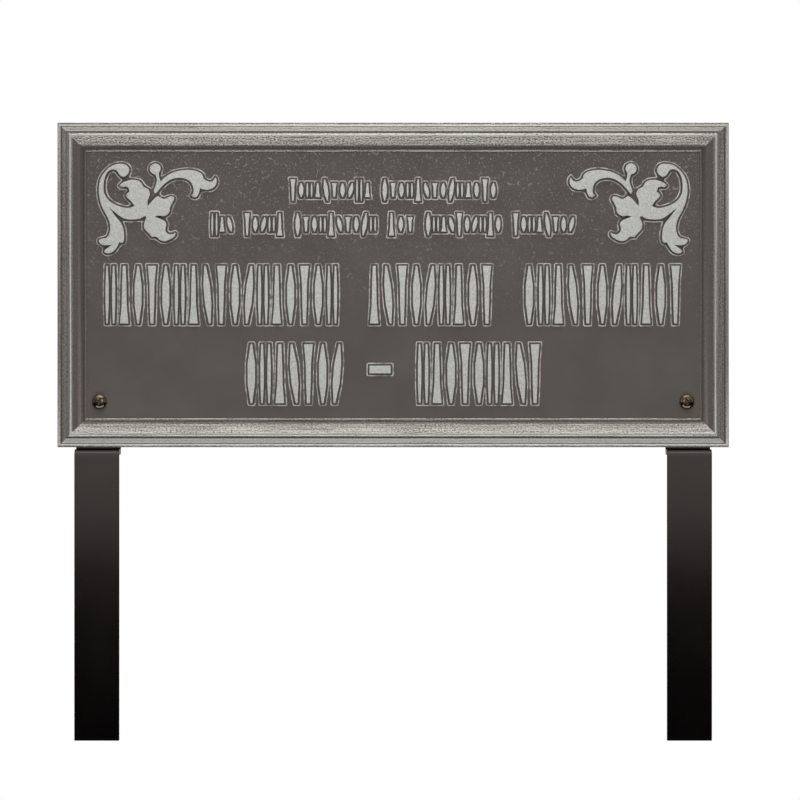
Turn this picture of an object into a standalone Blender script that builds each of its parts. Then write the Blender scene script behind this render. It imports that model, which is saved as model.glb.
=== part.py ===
"""Memorial plaque: one aluminium casting screwed to two bent flat bar stakes.

Metres. The front faces -Y, +X runs to the viewer's right and +Z up. The origin lies midway
between the stakes' flat lower ends, halfway through the bars.
"""
import math
from collections import namedtuple

import bmesh
import bpy
from mathutils import Matrix, Vector
from mathutils.geometry import interpolate_bezier

# Casting
PLAQUE_WIDTH = 0.3810
PLAQUE_HEIGHT = 0.1842
PLAQUE_DEPTH = 0.0127
GROUND_BELOW_CREST = 0.0050
PLATE_THICKNESS = 0.0040
RIM_WIDTH = 0.0090
RIM_DRAFT = 0.0008

# Moulded border, from the outer edge inwards
EDGE_ROUND = 0.0010
OUTER_STEP_WIDTH = 0.0022
OUTER_STEP_BELOW_CREST = 0.0017
MIDDLE_STEP_WIDTH = 0.0026
MIDDLE_STEP_BELOW_CREST = 0.0009
GROOVE_WIDTH = 0.0005
GROOVE_DEPTH = 0.0006
CREST_WIDTH = 0.0029
CREST_CROWN = 0.0003
COVE_WIDTH = 0.0042
COVE_DROP = 0.0022
BANK_WIDTH = 0.0021
BEAD_WIDTH = 0.0016
BEAD_HEIGHT = 0.0007

# Raised work on the ground
RELIEF_HEIGHT = 0.0020
RELIEF_DRAFT = 0.00025
RELIEF_ROOT = 0.0010
FLOURISH_HEIGHT = 0.0515
FLOURISH_FROM_SIDE = 0.0231
FLOURISH_FROM_TOP = 0.0229
DASH_THICKNESS = 0.0048
DASH_HEIGHT_SHARE = 0.57

# Stakes
STAKE_HEIGHT = 0.1651
BAR_WIDTH = 0.0254
BAR_THICKNESS = 0.0032
BEND_INNER_RADIUS = 0.0006
STAKE_OUTSIDE_SCREW = 0.0012
TAB_ABOVE_SCREW = 0.0127
LEG_BEFORE_CREST = 0.0013
SHELF_GAP = 0.0012

# Screws and nuts
SCREW_FROM_SIDE = 0.0237
SCREW_ABOVE_EDGE = 0.0257
SCREW_DIAMETER = 0.0042
HEAD_DIAMETER = 0.0084
HEAD_HEIGHT = 0.0028
SCREW_PAST_NUT = 0.0018
SCREW_CHAMFER = 0.0006
RECESS_SPAN = 0.0046
RECESS_SLOT = 0.0012
RECESS_DEPTH = 0.0017
RECESS_DRAFT = 0.00035
BOSS_DIAMETER = 0.0130
NUT_ACROSS_FLATS = 0.0087
NUT_HEIGHT = 0.0031

# Clearances
TOUCH_GAP = 0.0003
SCREW_CLEARANCE = 0.0004

# The pan head's section from its top down to its seat, in shares of its radius and height
HEAD_SECTION = ((0, 1), (0.5, 0.96), (0.82, 0.80), (0.96, 0.62), (1, 0.45), (1, 0))

ROUND_SEGMENTS = 24
ARC_STEPS = 4
CURVE_STEPS = 2

# Places that follow from the sizes above
LEG_FRONT_Y = -BAR_THICKNESS / 2
CREST_Y = LEG_FRONT_Y + LEG_BEFORE_CREST
GROUND_Y = CREST_Y + GROUND_BELOW_CREST
BACK_Y = CREST_Y + PLAQUE_DEPTH
TAB_FRONT_Y = BACK_Y + TOUCH_GAP
TAB_BACK_Y = TAB_FRONT_Y + BAR_THICKNESS
PLAQUE_BOTTOM_Z = STAKE_HEIGHT + SHELF_GAP
PLAQUE_TOP_Z = PLAQUE_BOTTOM_Z + PLAQUE_HEIGHT
PLAQUE_MIDDLE_Z = PLAQUE_BOTTOM_Z + PLAQUE_HEIGHT / 2
SCREW_X = PLAQUE_WIDTH / 2 - SCREW_FROM_SIDE
STAKE_X = SCREW_X + STAKE_OUTSIDE_SCREW
SCREW_Z = PLAQUE_BOTTOM_Z + SCREW_ABOVE_EDGE
HOLE_DIAMETER = SCREW_DIAMETER + 2 * SCREW_CLEARANCE

# A stroke's half widths at foot, waist and head, its lean, and its parts' places beside its middle
# are all in stem widths
Stroke = namedtuple("Stroke", "foot waist head lean places")
STROKES = {
    "falling wedge": Stroke(0.32, 0.46, 0.78, 0, (0,)),
    "rising wedge": Stroke(0.78, 0.46, 0.32, 0, (0,)),
    "leaf": Stroke(0.20, 0.72, 0.20, 0, (0,)),
    "right leaning leaf": Stroke(0.20, 0.68, 0.20, 0.8, (0,)),
    "left leaning leaf": Stroke(0.20, 0.68, 0.20, -0.8, (0,)),
    "twin leaf": Stroke(0.20, 0.36, 0.20, 0, (-0.55, 0.55)),
}
RHYTHM = (
    "falling wedge", "leaf", "twin leaf", "rising wedge", "left leaning leaf", "falling wedge",
    "leaf", "right leaning leaf", "twin leaf", "rising wedge", "leaf",
)
STROKE_SPANS = 3

# Each row of strokes is centred, with its foot above or below the plaque's middle. Every
# TALL_EVERY-th stroke of a word has the row's full height, the rest the stated share of it, halfway
# up.
Row = namedtuple("Row", "height above_middle stem pitch short_share words gap")
ROWS = (
    Row(0.0127, 0.0475, 0.0022, 0.0046, 0.66, (0.0470, 0.0664), 0.0051),
    Row(0.0130, 0.0279, 0.0022, 0.0046, 0.66,
        (0.0130, 0.0232, 0.0476, 0.0159, 0.0442, 0.0363), 0.0054),
    Row(0.0332, -0.0221, 0.0034, 0.0080, 1.0, (0.1338, 0.0720, 0.0913), 0.0159),
)
NUMBER_ROW = Row(0.0339, -0.0673, 0.0036, 0.0080, 1.0, (0.0567, 0.0125, 0.0715), 0.0142)
TALL_EVERY = 4

# Leaf scroll outlines on a grid of the designer's own, y down. Each run is one smooth curve, and
# runs meet in the corners: leaf tips, notches and crotches.
LEAF_RUNS = (
    # Bulb, back of the scroll and foot leaf
    ((43.5, 31.2), (48, 27.8), (50, 22.5), (46.5, 17), (39.5, 15.3), (30, 17.5), (22, 24), (16.5, 33),
     (14.5, 45), (16, 57), (20, 68), (25, 77), (27.5, 86), (26.5, 94), (23.5, 98.5), (19, 99.5),
     (14.6, 101.5), (16.5, 106), (22, 107.8), (28, 107.5)),
    ((28, 107.5), (24, 110.5), (20.5, 114), (22.5, 116.4), (27, 116.8), (32, 114.5), (36, 109.5),
     (38.5, 104.5)),
    ((38.5, 104.5), (42, 105), (43.8, 102), (44, 95), (43, 88), (40, 81.5), (35, 75.5), (29.5, 68)),
    # Underside of the body
    ((29.5, 68), (35.5, 72.8), (42, 77.2), (49, 78.8), (57, 78.6), (63, 77.3), (66, 75.2)),
    # Lower right petal
    ((66, 75.2), (68, 76), (65.5, 83), (66, 89), (70, 93.5), (74.5, 98.8)),
    ((74.5, 98.8), (79.5, 98.2), (83, 101.5), (88, 103.2), (93, 102.3), (99, 99), (102, 95.5),
     (101, 92.5)),
    ((101, 92.5), (97.5, 94.5), (94, 94.5), (91, 92), (90.5, 88), (91.7, 84), (89.5, 80), (85, 77.5),
     (79, 75.3)),
    # Right petal
    ((79, 75.3), (83, 74.5), (88, 75), (93.5, 72.5), (95.3, 69), (95.5, 65.5), (98, 60), (100.3, 56),
     (99.5, 53), (96, 52), (92, 53.5), (88.5, 55), (85.5, 53.8), (82, 51.6)),
    ((82, 51.6), (78.5, 53.3), (74.5, 57.5), (70.5, 62)),
    # Upper petal
    ((70.5, 62), (70.5, 57), (72.5, 52.5), (73, 48), (70, 43.5), (65.5, 41.5)),
    ((65.5, 41.5), (63.5, 37.5), (59.5, 34.3), (52, 33.4), (45.5, 35), (40.5, 37.5), (38, 40.5),
     (40.5, 42.5), (45, 41.8), (48, 43)),
    ((48, 43), (49.2, 47)),
    ((49.2, 47), (45.5, 50), (46.5, 54), (51, 58), (54.5, 63)),
    # Inner edge of the scroll
    ((54.5, 63), (49, 65), (42, 64.3), (34, 61.5), (27, 57), (22.5, 50.5), (21, 43), (21.7, 34),
     (24.5, 26.5), (29, 22.8), (34, 23), (36.5, 26), (39, 29.6), (43.5, 31.2)),
)
SPRIG_RUNS = (
    # Stem and ball
    ((78.5, 51), (76.5, 46), (78.6, 40), (79.8, 34), (78.3, 28.4)),
    ((78.3, 28.4), (73.6, 26), (71.8, 21.5), (73.8, 17), (78.6, 15), (83.4, 17), (85.3, 21.5),
     (83, 26.5)),
    ((83, 26.5), (83.4, 30.5), (84.8, 34.8)),
    # Long leaf
    ((84.8, 34.8), (90, 30), (98, 25.3), (108, 22.8), (118, 22.4), (127, 24.3), (132, 28), (133, 32)),
    ((133, 32), (137, 34.7), (141, 35.6), (144, 33.5), (146, 30)),
    ((146, 30), (148, 34), (147, 40), (142, 44.3), (135.5, 45.4), (129, 44)),
    ((129, 44), (128.3, 48), (126, 52.8), (121.5, 54), (118, 51.4)),
    ((118, 51.4), (120.7, 49), (121, 44), (119, 38), (114, 33.8), (106, 32), (98, 33.3), (90, 38),
     (84.3, 44), (78.5, 51)),
)


def clear_scene():
    """Remove every object that the file opened with."""
    for thing in list(bpy.data.objects):
        bpy.data.objects.remove(thing, do_unlink=True)


def make_material(name, colour, metallic, roughness):
    """A plain Principled material."""
    material = bpy.data.materials.new(name)
    material.use_nodes = True
    shader = material.node_tree.nodes["Principled BSDF"]
    shader.inputs["Base Color"].default_value = (*colour, 1.0)
    shader.inputs["Metallic"].default_value = metallic
    shader.inputs["Roughness"].default_value = roughness
    return material


def make_object(name, bm, material=None):
    """Turn a bmesh into a named object with outward normals."""
    bmesh.ops.recalc_face_normals(bm, faces=bm.faces)
    mesh = bpy.data.meshes.new(name)
    bm.to_mesh(mesh)
    bm.free()
    thing = bpy.data.objects.new(name, mesh)
    bpy.context.scene.collection.objects.link(thing)
    if material is not None:
        mesh.materials.append(material)
    return thing


def apply_boolean(thing, tool, operation, use_self=False):
    """Join a helper solid to an object or cut it out, and keep the helper hidden. use_self lets
    the helper's own parts run into each other."""
    tool.hide_render = True
    tool.display_type = 'WIRE'
    step = thing.modifiers.new(tool.name, 'BOOLEAN')
    step.object = tool
    step.operation = operation
    step.solver = 'EXACT'
    step.use_self = use_self


def add_round_bar(bm, radius, y_front, y_back, x, z, segments=ROUND_SEGMENTS):
    """A cylinder that runs along Y between two planes."""
    place = Matrix.Translation((x, (y_front + y_back) / 2, z)) @ Matrix.Rotation(math.pi / 2, 4, 'X')
    bmesh.ops.create_cone(bm, cap_ends=True, segments=segments, radius1=radius, radius2=radius,
                          depth=y_back - y_front, matrix=place)


def add_raised_shape(bm, outline, height, draft):
    """A drafted solid on the ground, rooted in the plate, from its foot outline as (x, z) points."""
    corners = [bm.verts.new((x, GROUND_Y + RELIEF_ROOT, z)) for x, z in outline]
    face = bm.faces.new(corners)
    face.normal_update()
    if face.normal.y > 0:
        face.normal_flip()
    grown = bmesh.ops.extrude_face_region(bm, geom=[face], use_keep_orig=True)
    top = [item for item in grown["geom"] if isinstance(item, bmesh.types.BMFace)]
    risen = [item for item in grown["geom"] if isinstance(item, bmesh.types.BMVert)]
    bmesh.ops.translate(bm, vec=(0, -RELIEF_ROOT / 2, 0), verts=risen)
    bmesh.ops.inset_region(bm, faces=top, thickness=draft, depth=height + RELIEF_ROOT / 2,
                           use_even_offset=True)


def arc_turns(sweep):
    """The turns of an arc's points in radians, without the first."""
    return [sweep * step / ARC_STEPS for step in range(1, ARC_STEPS + 1)]


def border_profile():
    """The border's section as (distance from the edge, depth below the crest), edge to ground."""
    outer = OUTER_STEP_BELOW_CREST
    middle = MIDDLE_STEP_BELOW_CREST
    points = [(0, outer + EDGE_ROUND)]
    for turn in arc_turns(math.pi / 2):
        points.append((EDGE_ROUND * (1 - math.cos(turn)), outer + EDGE_ROUND * (1 - math.sin(turn))))
    reach = OUTER_STEP_WIDTH
    points.append((reach, outer))
    points.append((reach + GROOVE_WIDTH / 2, outer + GROOVE_DEPTH))
    points.append((reach + GROOVE_WIDTH, middle))
    reach += GROOVE_WIDTH + MIDDLE_STEP_WIDTH
    points.append((reach, middle))
    points.append((reach + GROOVE_WIDTH / 2, middle + GROOVE_DEPTH))
    points.append((reach + GROOVE_WIDTH, CREST_CROWN))
    reach += GROOVE_WIDTH
    points.append((reach + CREST_WIDTH / 2, 0))
    points.append((reach + CREST_WIDTH, CREST_CROWN))
    reach += CREST_WIDTH
    for turn in arc_turns(math.pi / 2):
        points.append((reach + COVE_WIDTH * (1 - math.cos(turn)), CREST_CROWN + COVE_DROP * math.sin(turn)))
    reach += COVE_WIDTH + BANK_WIDTH
    points.append((reach, GROUND_BELOW_CREST))
    for turn in arc_turns(math.pi):
        points.append((reach + BEAD_WIDTH / 2 * (1 - math.cos(turn)),
                       GROUND_BELOW_CREST - BEAD_HEIGHT * math.sin(turn)))
    return points


def add_casting_blank(bm):
    """The plaque without its raised work: moulded front, side walls, rim and hollow back."""
    profile = border_profile()
    front_y = CREST_Y + profile[0][1]
    size = Matrix.Diagonal((PLAQUE_WIDTH, BACK_Y - front_y, PLAQUE_HEIGHT, 1))
    place = Matrix.Translation((0, (BACK_Y + front_y) / 2, PLAQUE_MIDDLE_Z))
    bmesh.ops.create_cube(bm, size=1, matrix=place @ size)
    bm.faces.ensure_lookup_table()
    front = min(bm.faces, key=lambda face: face.calc_center_median().y)
    back = max(bm.faces, key=lambda face: face.calc_center_median().y)
    for (here, level), (inwards, next_level) in zip(profile, profile[1:]):
        bmesh.ops.inset_region(bm, faces=[front], thickness=inwards - here,
                               depth=level - next_level, use_even_offset=True)
    hollow_depth = PLAQUE_DEPTH - GROUND_BELOW_CREST - PLATE_THICKNESS
    bmesh.ops.inset_region(bm, faces=[back], thickness=RIM_WIDTH, use_even_offset=True)
    bmesh.ops.inset_region(bm, faces=[back], thickness=RIM_DRAFT, depth=-hollow_depth,
                           use_even_offset=True)


def stroke_outline(stroke, x, low, high, stem):
    """The outline of one part of a stroke, up its left side and down its right side."""
    left, right = [], []
    for station in range(STROKE_SPANS + 1):
        t = station / STROKE_SPANS
        blend = 4 * t * (1 - t)
        half = stroke.waist * blend + (1 - blend) * (stroke.foot if t < 0.5 else stroke.head)
        spine = stroke.lean * (t - 0.5)
        left.append((x + (spine - half) * stem, low + t * (high - low)))
        right.append((x + (spine + half) * stem, low + t * (high - low)))
    return left + right[::-1]


def add_word(bm, row, start_x, width, first):
    """A word's strokes at an even pitch, the kinds taken in turn from the rhythm."""
    count = max(2, round(width / row.pitch))
    pitch = width / count
    for index in range(count):
        stroke = STROKES[RHYTHM[(first + index) % len(RHYTHM)]]
        x = start_x + (index + 0.5) * pitch
        tall = index % TALL_EVERY == 0 or row.short_share == 1
        height = row.height if tall else row.height * row.short_share
        base = PLAQUE_MIDDLE_Z + row.above_middle + (row.height - height) / 2
        for place in stroke.places:
            outline = stroke_outline(stroke, x + place * row.stem, base, base + height, row.stem)
            add_raised_shape(bm, outline, RELIEF_HEIGHT, RELIEF_DRAFT)
    return first + count


def row_starts(row):
    """The left end of each word of a centred row."""
    x = -(sum(row.words) + row.gap * (len(row.words) - 1)) / 2
    starts = []
    for width in row.words:
        starts.append(x)
        x += width + row.gap
    return starts


def add_rows(bm):
    """Rows of strokes where the inscription stands, with a dash between the last row's groups."""
    turn = 0
    for row in ROWS:
        for start_x, width in zip(row_starts(row), row.words):
            turn = add_word(bm, row, start_x, width, turn)
    starts = row_starts(NUMBER_ROW)
    before, dash_width, after = NUMBER_ROW.words
    turn = add_word(bm, NUMBER_ROW, starts[0], before, turn)
    add_word(bm, NUMBER_ROW, starts[2], after, turn)
    dash_z = PLAQUE_MIDDLE_Z + NUMBER_ROW.above_middle + NUMBER_ROW.height * DASH_HEIGHT_SHARE
    low, high = dash_z - DASH_THICKNESS / 2, dash_z + DASH_THICKNESS / 2
    left, right = starts[1], starts[1] + dash_width
    add_raised_shape(bm, [(left, low), (right, low), (right, high), (left, high)],
                     RELIEF_HEIGHT, RELIEF_DRAFT)


def smooth_outline(runs):
    """One closed outline from runs of points, smooth within each run."""
    outline = []
    for run in runs:
        knots = [Vector(point) for point in run]
        reach = [knots[0]] + knots + [knots[-1]]
        for before, start, stop, after in zip(reach, reach[1:], reach[2:], reach[3:]):
            curve = interpolate_bezier(start, start + (stop - before) / 6, stop - (after - start) / 6,
                                       stop, CURVE_STEPS + 1)
            outline += [(point.x, point.y) for point in curve[:-1]]
    return outline


def add_flourishes(bm):
    """The two leaf scrolls, one in each upper corner, as mirror images."""
    leaf = smooth_outline(LEAF_RUNS)
    sprig = smooth_outline(SPRIG_RUNS)
    points = leaf + sprig
    grid_left = min(x for x, y in points)
    grid_top = min(y for x, y in points)
    unit = FLOURISH_HEIGHT / (max(y for x, y in points) - grid_top)
    left = -PLAQUE_WIDTH / 2 + FLOURISH_FROM_SIDE
    top = PLAQUE_TOP_Z - FLOURISH_FROM_TOP
    for side in (1, -1):
        for outline in (leaf, sprig):
            placed = [(side * (left + (x - grid_left) * unit), top - (y - grid_top) * unit)
                      for x, y in outline]
            add_raised_shape(bm, placed, RELIEF_HEIGHT, RELIEF_DRAFT)


def make_plaque():
    """The casting: blank, raised work, bosses behind the screws and the screw holes."""
    finish = make_material("dark pewter aluminium", (0.10, 0.09, 0.08), 0.6, 0.5)
    blank = bmesh.new()
    add_casting_blank(blank)
    plaque = make_object("plaque", blank, finish)
    raised = bmesh.new()
    add_rows(raised)
    add_flourishes(raised)
    apply_boolean(plaque, make_object("raised_work", raised, finish), 'UNION', use_self=True)
    bosses = bmesh.new()
    holes = bmesh.new()
    for side in (-1, 1):
        add_round_bar(bosses, BOSS_DIAMETER / 2, GROUND_Y + PLATE_THICKNESS / 2, BACK_Y,
                      side * SCREW_X, SCREW_Z)
        add_round_bar(holes, HOLE_DIAMETER / 2, CREST_Y, BACK_Y + PLATE_THICKNESS,
                      side * SCREW_X, SCREW_Z)
    apply_boolean(plaque, make_object("screw_bosses", bosses, finish), 'UNION')
    apply_boolean(plaque, make_object("plaque_holes", holes), 'DIFFERENCE')


def bar_section():
    """The bent bar seen from the side, as (y, z) points: leg, shelf and tab."""
    inner = BEND_INNER_RADIUS
    outer = inner + BAR_THICKNESS
    leg_back = LEG_FRONT_Y + BAR_THICKNESS
    shelf_under = STAKE_HEIGHT - BAR_THICKNESS
    tab_top = SCREW_Z + TAB_ABOVE_SCREW
    lower = (leg_back + inner, shelf_under - inner)
    upper = (TAB_FRONT_Y - inner, STAKE_HEIGHT + inner)

    def arc(centre, radius, start, stop):
        turns = [start + (stop - start) * step / ARC_STEPS for step in range(ARC_STEPS + 1)]
        return [(centre[0] + radius * math.cos(math.radians(turn)),
                 centre[1] + radius * math.sin(math.radians(turn))) for turn in turns]

    points = [(LEG_FRONT_Y, 0)]
    points += arc(lower, outer, 180, 90)
    points += arc(upper, inner, 270, 360)
    points += [(TAB_FRONT_Y, tab_top), (TAB_BACK_Y, tab_top)]
    points += arc(upper, outer, 360, 270)
    points += arc(lower, inner, 90, 180)
    points += [(leg_back, 0)]
    return points


def make_stake(name, side):
    """One stake with its screw hole, on one side of the plaque."""
    finish = make_material(name + " black paint", (0.012, 0.011, 0.010), 0.0, 0.35)
    middle = side * STAKE_X
    bar = bmesh.new()
    corners = [bar.verts.new((middle - BAR_WIDTH / 2, y, z)) for y, z in bar_section()]
    face = bar.faces.new(corners)
    grown = bmesh.ops.extrude_face_region(bar, geom=[face], use_keep_orig=True)
    moved = [item for item in grown["geom"] if isinstance(item, bmesh.types.BMVert)]
    bmesh.ops.translate(bar, vec=(BAR_WIDTH, 0, 0), verts=moved)
    stake = make_object(name, bar, finish)
    hole = bmesh.new()
    add_round_bar(hole, HOLE_DIAMETER / 2, BACK_Y, TAB_BACK_Y + BAR_THICKNESS, side * SCREW_X, SCREW_Z)
    apply_boolean(stake, make_object(name + "_hole", hole), 'DIFFERENCE')


def make_screw(name, side):
    """A pan head machine screw with a cross recess, turned about its axis."""
    finish = make_material(name + " bronzed steel", (0.30, 0.24, 0.17), 1.0, 0.35)
    seat_y = GROUND_Y - TOUCH_GAP
    top_y = seat_y - HEAD_HEIGHT
    end_y = TAB_BACK_Y + TOUCH_GAP + NUT_HEIGHT + SCREW_PAST_NUT
    shank = SCREW_DIAMETER / 2
    profile = [(HEAD_DIAMETER / 2 * out, seat_y - HEAD_HEIGHT * up) for out, up in HEAD_SECTION]
    profile += [(shank, seat_y), (shank, end_y - SCREW_CHAMFER), (shank - SCREW_CHAMFER, end_y), (0, end_y)]
    turned = bmesh.new()
    points = [turned.verts.new((radius, y, 0)) for radius, y in profile]
    edges = [turned.edges.new(pair) for pair in zip(points, points[1:])]
    bmesh.ops.spin(turned, geom=points + edges, cent=(0, 0, 0), axis=(0, 1, 0),
                   angle=math.tau, steps=ROUND_SEGMENTS, use_merge=True)
    bmesh.ops.remove_doubles(turned, verts=turned.verts, dist=1e-6)
    bmesh.ops.translate(turned, vec=(side * SCREW_X, 0, SCREW_Z), verts=turned.verts)
    screw = make_object(name, turned, finish)
    screw.data.shade_smooth()
    recess = bmesh.new()
    add_cross_recess(recess, side * SCREW_X, SCREW_Z, top_y)
    apply_boolean(screw, make_object(name + "_recess", recess), 'DIFFERENCE')


def add_cross_recess(bm, x, z, top_y):
    """The tapering cross that is cut into a screw's head, from just before its top."""
    long, narrow = RECESS_SPAN / 2, RECESS_SLOT / 2
    cross = []
    for quarter_turn in range(4):
        turn = Matrix.Rotation(quarter_turn * math.pi / 2, 2)
        cross += [turn @ Vector(point) for point in ((long, -narrow), (long, narrow), (narrow, narrow))]
    corners = [bm.verts.new((x + point.x, top_y - TOUCH_GAP, z + point.y)) for point in cross]
    mouth = bm.faces.new(corners)
    mouth.normal_update()
    if mouth.normal.y < 0:
        mouth.normal_flip()
    grown = bmesh.ops.extrude_face_region(bm, geom=[mouth], use_keep_orig=True)
    floor = [item for item in grown["geom"] if isinstance(item, bmesh.types.BMFace)]
    sunk = [item for item in grown["geom"] if isinstance(item, bmesh.types.BMVert)]
    bmesh.ops.translate(bm, vec=(0, TOUCH_GAP, 0), verts=sunk)
    bmesh.ops.inset_region(bm, faces=floor, thickness=RECESS_DRAFT, depth=RECESS_DEPTH,
                           use_even_offset=True)


def make_nut(name, side):
    """A hexagon nut behind the tab."""
    finish = make_material(name + " zinc plated steel", (0.45, 0.46, 0.47), 1.0, 0.4)
    front_y = TAB_BACK_Y + TOUCH_GAP
    block = bmesh.new()
    add_round_bar(block, NUT_ACROSS_FLATS / math.sqrt(3), front_y, front_y + NUT_HEIGHT,
                  side * SCREW_X, SCREW_Z, segments=6)
    nut = make_object(name, block, finish)
    bore = bmesh.new()
    add_round_bar(bore, SCREW_DIAMETER / 2 + TOUCH_GAP, front_y - NUT_HEIGHT, front_y + 2 * NUT_HEIGHT,
                  side * SCREW_X, SCREW_Z)
    apply_boolean(nut, make_object(name + "_bore", bore), 'DIFFERENCE')


clear_scene()
make_plaque()
for side_name, side_sign in (("left", -1), ("right", 1)):
    make_stake("stake_" + side_name, side_sign)
    make_screw("screw_" + side_name, side_sign)
    make_nut("nut_" + side_name, side_sign)
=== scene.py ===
# %% [markdown]
# # A cast memorial plaque on two stakes
#
# The real plaque is one aluminium sand casting. Its ground is sprayed with a dark pewter enamel,
# and then the raised faces and the moulded border are rubbed back to bright metal. Two bent steel
# bars, painted black, carry it, and one screw with a nut joins it to each of them.
#
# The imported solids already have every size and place. This lesson builds a finer skin over each of
# them and gives it a finish, so the first step is to load them as a fixed frame and to measure them.

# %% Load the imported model
import math
from collections import namedtuple

import bmesh
import bpy
from mathutils import Matrix, Vector
from mathutils.geometry import interpolate_bezier


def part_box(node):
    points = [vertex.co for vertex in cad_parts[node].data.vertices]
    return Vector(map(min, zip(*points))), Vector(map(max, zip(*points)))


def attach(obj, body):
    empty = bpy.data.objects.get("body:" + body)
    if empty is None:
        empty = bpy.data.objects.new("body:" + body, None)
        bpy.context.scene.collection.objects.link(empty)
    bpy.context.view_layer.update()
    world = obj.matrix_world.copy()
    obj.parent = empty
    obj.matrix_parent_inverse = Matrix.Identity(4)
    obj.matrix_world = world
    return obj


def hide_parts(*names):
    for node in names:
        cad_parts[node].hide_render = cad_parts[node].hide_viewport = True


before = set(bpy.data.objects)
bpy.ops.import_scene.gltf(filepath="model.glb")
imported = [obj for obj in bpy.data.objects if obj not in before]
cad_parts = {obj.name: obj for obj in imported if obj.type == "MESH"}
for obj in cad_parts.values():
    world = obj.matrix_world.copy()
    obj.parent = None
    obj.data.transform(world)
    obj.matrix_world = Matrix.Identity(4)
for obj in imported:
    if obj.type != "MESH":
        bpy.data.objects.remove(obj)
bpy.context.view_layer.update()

MM = 0.001
for node_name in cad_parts:
    low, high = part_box(node_name)
    print(node_name, "from", [round(v / MM, 1) for v in low], "to", [round(v / MM, 1) for v in high])

# %% [markdown]
# ## Sizes
#
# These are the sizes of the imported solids, in metres, with the front facing -Y and +Z up. They are
# written out once more because a scene can't read the file that made the solids. The finer skin keeps
# their outlines and places, and only the border's steps are drawn finer than in the solid.

# %% Sizes of the casting, the stakes and the screws
PLAQUE_WIDTH = 381.0 * MM
PLAQUE_HEIGHT = 184.2 * MM
PLAQUE_DEPTH = 12.7 * MM
GROUND_BELOW_CREST = 5.0 * MM
PLATE_THICKNESS = 4.0 * MM
RIM_WIDTH = 9.0 * MM
RIM_DRAFT = 0.8 * MM
BOSS_DIAMETER = 13.0 * MM

STAKE_HEIGHT = 165.1 * MM
BAR_WIDTH = 25.4 * MM
BAR_THICKNESS = 3.2 * MM
BEND_INNER_RADIUS = 0.6 * MM
TAB_ABOVE_SCREW = 12.7 * MM
LEG_BEFORE_CREST = 1.3 * MM
STAKE_OUTSIDE_SCREW = 1.2 * MM
SHELF_GAP = 1.2 * MM
TOUCH_GAP = 0.3 * MM

SCREW_FROM_SIDE = 23.7 * MM
SCREW_ABOVE_EDGE = 25.7 * MM
SCREW_DIAMETER = 4.2 * MM
HOLE_DIAMETER = 5.0 * MM
HEAD_DIAMETER = 8.4 * MM
HEAD_HEIGHT = 2.8 * MM
NUT_ACROSS_FLATS = 8.7 * MM
NUT_HEIGHT = 3.1 * MM
NUT_CHAMFER = (0.75 * MM, 0.40 * MM)    # inwards, along the nut
SCREW_PAST_NUT = 1.8 * MM

LEG_FRONT_Y = -BAR_THICKNESS / 2
CREST_Y = LEG_FRONT_Y + LEG_BEFORE_CREST
GROUND_Y = CREST_Y + GROUND_BELOW_CREST
BACK_Y = CREST_Y + PLAQUE_DEPTH
TAB_FRONT_Y = BACK_Y + TOUCH_GAP
TAB_BACK_Y = TAB_FRONT_Y + BAR_THICKNESS
PLAQUE_MIDDLE_Z = STAKE_HEIGHT + SHELF_GAP + PLAQUE_HEIGHT / 2
PLAQUE_TOP_Z = PLAQUE_MIDDLE_Z + PLAQUE_HEIGHT / 2
SCREW_X = PLAQUE_WIDTH / 2 - SCREW_FROM_SIDE
STAKE_X = SCREW_X + STAKE_OUTSIDE_SCREW
SCREW_Z = STAKE_HEIGHT + SHELF_GAP + SCREW_ABOVE_EDGE
print("ground", round(GROUND_Y / MM, 2), "mm behind the origin, screws at x", round(SCREW_X / MM, 1),
      "z", round(SCREW_Z / MM, 1))

# %% [markdown]
# ## A few helpers
#
# Blender's shader sockets take linear colour, while a listed colour is an sRGB hex value, so
# one function converts. One more adds a node to a material with its settings and links, so that each
# finish below reads as a list of what it is made of.

# %% Colour and nodes
def linear(hex_colour):
    """An sRGB hex value such as '#57514b' as a linear RGBA colour."""
    channels = [int(hex_colour[i:i + 2], 16) / 255 for i in (1, 3, 5)]
    return tuple(c / 12.92 if c <= 0.04045 else ((c + 0.055) / 1.055) ** 2.4 for c in channels) + (1,)


def add_node(tree, kind, inputs=(), stops=(), **settings):
    """Add a node. inputs are (socket, value or another node's output), stops are a ramp's."""
    node = tree.nodes.new("ShaderNode" + kind)
    for name, value in settings.items():
        setattr(node, name, value)
    for position, _ in stops[2:]:
        node.color_ramp.elements.new(position)
    for element, (position, colour) in zip(node.color_ramp.elements if stops else (), sorted(stops)):
        element.position = position
        element.color = colour if isinstance(colour, tuple) else (colour, colour, colour, 1)
    for socket, value in inputs:
        if isinstance(value, bpy.types.NodeSocket):
            tree.links.new(value, node.inputs[socket])
        else:
            node.inputs[socket].default_value = value
    return node


def new_finish(name):
    """A material with an empty node tree but for its shader and output."""
    finish = bpy.data.materials.new(name)
    finish.use_nodes = True
    return finish, finish.node_tree, finish.node_tree.nodes["Principled BSDF"]


print("pewter ground in linear colour:", [round(c, 3) for c in linear("#57514b")])

# %% Meshes and joins
CREASE = 35         # in degrees: a sharper edge stays sharp when a piece is shaded smooth
ROUND_STEPS = 48    # how many sides a round piece has


def finish_mesh(name, bm, materials):
    """Turn a bmesh into an object with outward normals and the given material slots."""
    bmesh.ops.recalc_face_normals(bm, faces=bm.faces)
    mesh = bpy.data.meshes.new(name)
    bm.to_mesh(mesh)
    bm.free()
    for material in materials:
        mesh.materials.append(material)
    piece = bpy.data.objects.new(name, mesh)
    bpy.context.scene.collection.objects.link(piece)
    return piece


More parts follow.
